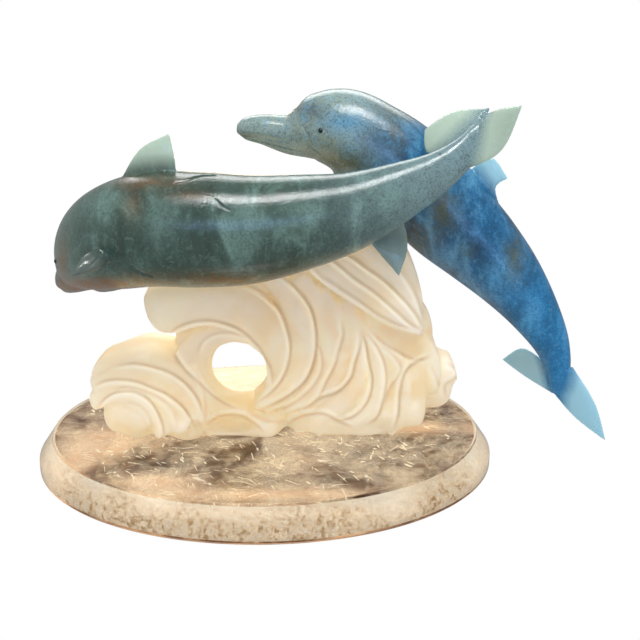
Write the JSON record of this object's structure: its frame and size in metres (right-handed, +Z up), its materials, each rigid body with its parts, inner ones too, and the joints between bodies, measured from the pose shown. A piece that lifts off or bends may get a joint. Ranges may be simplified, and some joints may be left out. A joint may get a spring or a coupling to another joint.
{
  "type": "gemstone dolphin sculpture",
  "caption": "Carved gemstone group of two leaping dolphins over a curling frosted crystal wave, standing on an oval clear crystal base.",
  "frame": {"origin": "the middle of the oval base's flat underside", "axes": "+Z up, +X to the right and -Y towards the viewer, with the front dolphin's left side facing -Y and both heads to -X"},
  "size_m": [0.3031, 0.203, 0.1901],
  "materials": {
    "clear_crystal": "polished clear rock crystal with veils, needles and specks sealed in it",
    "frosted_crystal": "rock crystal carved in soft folds and frosted all over",
    "green_stone": "polished grey-green mottled beryl, brownish underneath, with pale thin fins",
    "blue_stone": "polished mottled blue beryl, greener at the head, with pale thin fins",
    "eye_stone": "polished near-black domed stone"
  },
  "bodies": {
    "root": {"base": "clear_crystal", "wave": "frosted_crystal", "front_dolphin": "green_stone", "front_dolphin_left_eye": "eye_stone", "front_dolphin_right_eye": "eye_stone", "back_dolphin": "blue_stone", "back_dolphin_left_eye": "eye_stone", "back_dolphin_right_eye": "eye_stone"}
  },
  "joints": []
}
